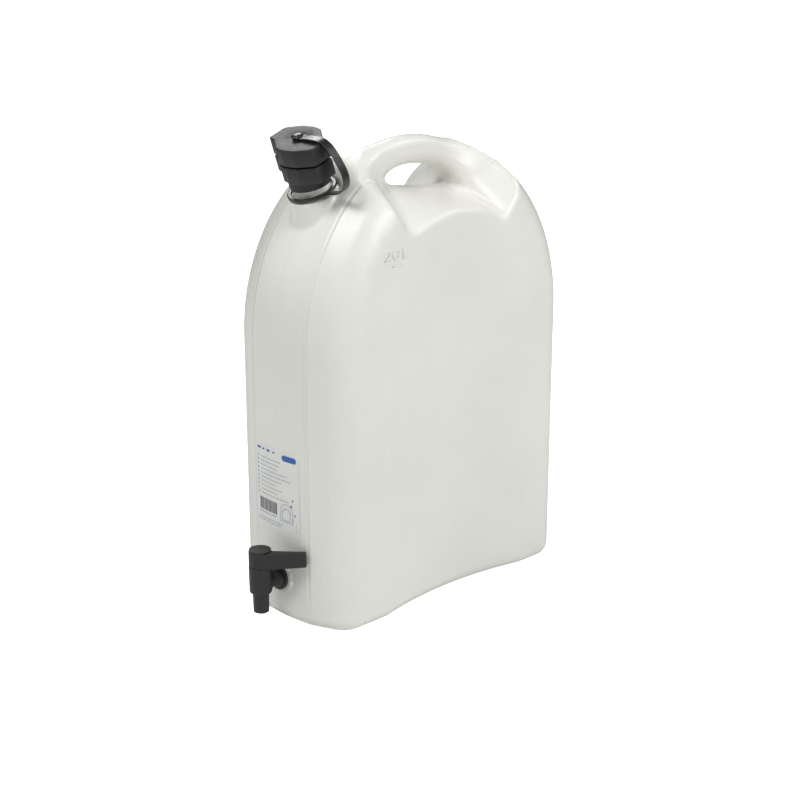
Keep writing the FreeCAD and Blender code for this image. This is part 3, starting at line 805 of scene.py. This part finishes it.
def tap_field(x, y, z):
    """Housing of the tap: upright barrel, nozzle, and the inlet running back to the can."""
    yy = y - TAP_Y
    r = np.hypot(x, yy)
    barrel = blend_max(r - 12.2 + 0.01 * (68.5 - z), 38.0 - z, 2.6)
    barrel = blend_max(barrel, z - 68.5, 0.5)
    nozzle = blend_max(r - 8.3 - 0.02 * (z - 16.5), np.maximum(z - 40.0, 16.5 - z), 0.8)
    rr = np.hypot(x, z - INLET_Z)
    inlet = np.maximum(rr - 9.0, np.maximum(y + 162, TAP_Y - y))
    front = -183.7
    flange = blend_max(rr - 14.5, np.maximum(y - front, front - 2.6 - y), 0.9)
    dish = np.maximum(rr - 12.5 + 0.75 * (front - 1.2 - y), np.maximum(y - front, front - 7 - y))
    body = blend_min(blend_min(barrel, blend_min(inlet, dish, 2.0), 2.5), nozzle, 0.6)
    body = np.minimum(body, flange)
    bore = np.maximum(r - 8.65, 40.3 - z)
    outlet = np.maximum(r - 6.0, z - 42)
    channel = np.maximum(rr - 6.0, TAP_Y - y)
    return np.maximum(body, -np.minimum(np.minimum(bore, outlet), channel))


LEVER_TOUCH = Vector((2.13, -11.81))     # the blade's front side touches the hub here
LEVER_TIP_NEAR = Vector((50.0, -3.2))
LEVER_TIP_FAR = Vector((50.5, 0.8))
LEVER_ROOT = Vector((11.0, 2.6))


def beyond(x, y, start, end):
    """Distance to the right of the line from start to end."""
    along = (end - start).normalized()
    return (x - start.x) * along.y - (y - start.y) * along.x


def lever_field(x, y, z):
    """Round hub with a narrow blade that climbs towards its tip."""
    yy = y - TAP_Y
    lx = x * math.cos(LEVER_ANGLE) + yy * math.sin(LEVER_ANGLE)
    ly = yy * math.cos(LEVER_ANGLE) - x * math.sin(LEVER_ANGLE)
    r = np.hypot(lx, ly)
    low, high = 68.7, 85.2
    hub = blend_max(r - 12.0, np.maximum(z - high, low - z), 0.6)
    climb = np.maximum(lx - 14, 0)
    tip = beyond(lx, ly, LEVER_TIP_NEAR, LEVER_TIP_FAR)
    plan = blend_max(beyond(lx, ly, LEVER_TOUCH, LEVER_TIP_NEAR), tip, 1.0)
    plan = blend_max(plan, beyond(lx, ly, LEVER_TIP_FAR, LEVER_ROOT), 1.0)
    heights = np.maximum(z - high - 0.093 * climb, low + 0.082 * climb - z)
    blade = blend_max(np.maximum(plan, -lx), heights, 0.6)
    body = np.minimum(hub, blade)
    cup = np.maximum(r - 10.65, 82.1 - z)
    socket = np.maximum(np.maximum(np.abs(lx), np.abs(ly)) - 4.6, z - 76.7)
    return np.maximum(body, -np.minimum(cup, socket))


def build_tap(black):
    step = 0.8
    housing = surface_mesh("tap_body", tap_field, (-17, TAP_Y - 14.5, 13), (17, -160, 71), step)
    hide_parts("tap_housing")
    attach(housing, "can")
    lever = surface_mesh("lever_handle", lever_field, (-14, TAP_Y - 14, 66.5), (46, TAP_Y + 30, 91), step)
    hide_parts("tap_lever")
    cover_profile = rounded([(0, 82.3), (10.5, 82.3), (10.5, 85.3), (11.7, 85.3), (11.7, 86.8), (7.2, 86.8),
                             (6.9, 86.35), (0, 86.3)], 0.35)
    cover = lathe("lever_cover", cover_profile, tap_matrix(), 72)
    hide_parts("lever_cap")
    for piece in (lever, cover):
        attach(piece, "lever")
    for piece in (housing, lever, cover):
        paint(piece, black)


# ---- studio ----

def floor_material():
    """Pale floor that glows white to the camera, so that it meets the backdrop without a line."""
    material, nodes, links, bsdf = new_material("studio_floor")
    coords = nodes.new("ShaderNodeTexCoord").outputs["Object"]
    tone = noise_node(nodes, links, coords, 2.0, 2.0)
    colour = ramp(nodes, links, tone, 0.3, 0.7, (0.86, 0.86, 0.86), (0.9, 0.9, 0.9))
    links.new(colour, bsdf.inputs["Base Color"])
    bsdf.inputs["Roughness"].default_value = 0.9
    bsdf.inputs["Specular IOR Level"].default_value = 0.1
    bsdf.inputs["Emission Color"].default_value = (1, 1, 1, 1)
    camera_ray = nodes.new("ShaderNodeLightPath").outputs["Is Camera Ray"]
    links.new(camera_ray, bsdf.inputs["Emission Strength"])
    return material


STUDIO_LIGHTS = (          # name, place (m), height it is aimed at (m), side (m), power (W)
    ("right_top", (1.55, 0.0, 1.5), 0.4, 1.0, 24),
    ("back_right", (0.7, 1.5, 1.85), 0.3, 0.25, 8),
    ("rim", (-1.9, 1.1, 2.1), 0.25, 0.9, 22),
    ("front_top", (0.0, -1.45, 2.1), 0.3, 0.7, 24),
    ("left_front", (-1.7, -1.5, 1.2), 0.2, 1.2, 11),
)
FLOOR_HALF = 14000.0
FLOOR_Z = -0.5
AMBIENT = 0.04            # backdrop strength for everything but the camera


def area_light(name, place_at, aim, size, power):
    light = bpy.data.lights.new(name, "AREA")
    light.shape = "SQUARE"
    light.size = size
    light.energy = power
    lamp = bpy.data.objects.new(name, light)
    lamp.location = place_at
    lamp.rotation_euler = (Vector(place_at) - Vector(aim)).to_track_quat("Z", "Y").to_euler()
    bpy.context.scene.collection.objects.link(lamp)


def build_studio():
    signs = ((-1, -1), (1, -1), (1, 1), (-1, 1))
    corners = [(FLOOR_HALF * sx, FLOOR_HALF * sy, FLOOR_Z) for sx, sy in signs]
    floor = paint(make_object("studio_floor", corners, [(0, 1, 2, 3)]), floor_material())
    world = bpy.data.worlds.new("studio")
    world.use_nodes = True
    nodes, links = world.node_tree.nodes, world.node_tree.links
    background = nodes["Background"]
    background.inputs["Color"].default_value = (1, 1, 1, 1)
    camera_ray = nodes.new("ShaderNodeLightPath").outputs["Is Camera Ray"]
    strength = math_node(nodes, links, "MULTIPLY_ADD", camera_ray, 1 - AMBIENT, AMBIENT)
    links.new(strength, background.inputs["Strength"])
    bpy.context.scene.world = world
    for name, place_at, aim_z, size, power in STUDIO_LIGHTS:
        area_light(name, place_at, (0, 0, aim_z), size, power)
    bpy.context.scene.view_settings.view_transform = "Standard"


CAMERA_AZIMUTH = math.radians(46.0639)
CAMERA_ELEVATION = math.radians(17.8056)
CAMERA_DISTANCE = 1.82462
CAMERA_LENS = 74.5906
TARGET_RIGHT = -0.004052
TARGET_Z = 0.203153


def build_camera():
    azimuth, elevation = CAMERA_AZIMUTH, CAMERA_ELEVATION
    right = Vector((math.cos(azimuth), math.sin(azimuth), 0))
    back = Vector((math.sin(azimuth) * math.cos(elevation), -math.cos(azimuth) * math.cos(elevation),
                   math.sin(elevation)))
    target = right * TARGET_RIGHT + Vector((0, 0, TARGET_Z))
    data = bpy.data.cameras.new("camera")
    data.lens = CAMERA_LENS
    camera = bpy.data.objects.new("camera", data)
    camera.location = target + back * CAMERA_DISTANCE
    camera.rotation_euler = back.to_track_quat("Z", "Y").to_euler()
    bpy.context.scene.collection.objects.link(camera)
    bpy.context.scene.camera = camera


def main():
    natural = natural_polyethylene()
    # the second colour given to each moulded plastic is its painted edge highlight on sharp convex edges
    black = moulded_plastic("black_plastic_fine", (0.012, 0.012, 0.0117), (0.07, 0.07, 0.066))
    strap_black = moulded_plastic("black_plastic_strap", (0.02, 0.02, 0.02), (0.08, 0.08, 0.08), 0.32,
                                  700.0, 0.00005)
    grey = moulded_plastic("grey_plastic_fine", (0.42, 0.42, 0.41), (0.6, 0.6, 0.58))
    rubber = elastomer("seal_rubber", (0.025, 0.025, 0.025))
    build_can(natural)
    build_neck(natural)
    build_volume_mark(natural)
    film = clear_film()
    blue = printed_ink("ink_blue", (0.003, 0.10, 0.38))
    grey_ink = printed_ink("ink_grey", (0.33, 0.38, 0.44))
    dark_ink = printed_ink("ink_dark", (0.06, 0.06, 0.07))
    build_label(film, blue, grey_ink, dark_ink)
    build_closure(black, strap_black, grey)
    build_tether(strap_black)
    build_tap(black)
    for node, material in (("neck_gasket", rubber), ("cap_gasket", rubber), ("plug_o_rings", rubber),
                           ("tap_gasket", rubber), ("tap_plug", grey), ("tap_lock_nut", black)):
        paint(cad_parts[node], material)
    build_studio()
    build_camera()


main()
